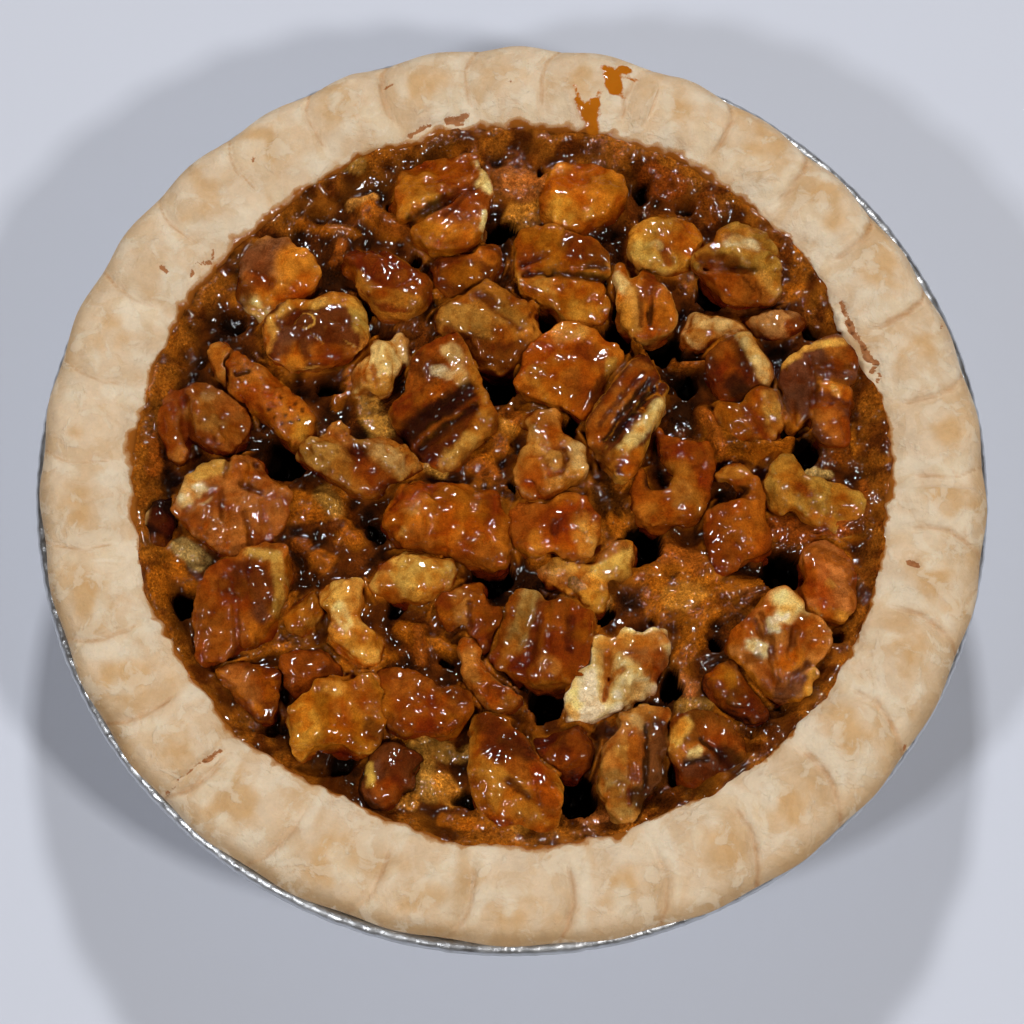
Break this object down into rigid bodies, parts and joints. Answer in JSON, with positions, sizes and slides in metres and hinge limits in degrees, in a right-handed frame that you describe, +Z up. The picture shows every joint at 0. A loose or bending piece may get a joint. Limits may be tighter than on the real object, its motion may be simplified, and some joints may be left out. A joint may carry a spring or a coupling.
{
  "type": "pecan pie",
  "caption": "Small round pecan pie: a pale crimped pastry rim round a glossy dark syrup filling crowded with chopped pecans, in its own fluted foil tin.",
  "frame": {"origin": "centre of the flat underside of the tin, which rests on the table", "axes": "+Z up; -Y is the side nearest the viewer; X to the viewer's right"},
  "size_m": [0.1264, 0.1264, 0.0309],
  "materials": {
    "foil": "bright rolled foil with fine pleats",
    "pastry": "pale baked shortcrust, matte with tan patches",
    "syrup": "set dark amber syrup, glossy and full of fine bubbles",
    "nut_amber": "pecan under amber glaze",
    "nut_red": "red-brown pecan skin under glaze",
    "nut_pale": "cut cream pecan flesh under thin glaze",
    "nut_dark": "nearly black pecan skin"
  },
  "bodies": {
    "root": {"foil_tin": "foil", "crust": "pastry", "filling": "syrup", "nut_01": "nut_pale", "nut_02": "nut_amber", "nut_03": "nut_red", "nut_04": "nut_amber", "nut_05": "nut_pale", "nut_06": "nut_amber", "nut_07": "nut_red", "nut_08": "nut_red", "nut_09": "nut_amber", "nut_10": "nut_amber", "nut_11": "nut_red", "nut_12": "nut_red", "nut_13": "nut_amber", "nut_14": "nut_amber", "nut_15": "nut_amber", "nut_16": "nut_pale", "nut_17": "nut_red", "nut_18": "nut_pale", "nut_19": "nut_red", "nut_20": "nut_amber", "nut_21": "nut_pale", "nut_22": "nut_red", "nut_23": "nut_amber", "nut_24": "nut_amber", "nut_25": "nut_pale", "nut_26": "nut_amber", "nut_27": "nut_amber", "nut_28": "nut_amber", "nut_29": "nut_red", "nut_30": "nut_red", "nut_31": "nut_red", "nut_32": "nut_amber", "nut_33": "nut_pale", "nut_34": "nut_amber", "nut_35": "nut_amber", "nut_36": "nut_pale", "nut_37": "nut_amber", "nut_38": "nut_pale", "nut_39": "nut_red", "nut_40": "nut_pale", "nut_41": "nut_red", "nut_42": "nut_red", "nut_43": "nut_red", "nut_44": "nut_amber", "nut_45": "nut_amber", "nut_46": "nut_amber", "nut_47": "nut_pale", "nut_48": "nut_amber", "nut_49": "nut_pale", "nut_50": "nut_pale", "nut_51": "nut_amber", "nut_52": "nut_amber", "nut_53": "nut_dark"}
  },
  "joints": []
}
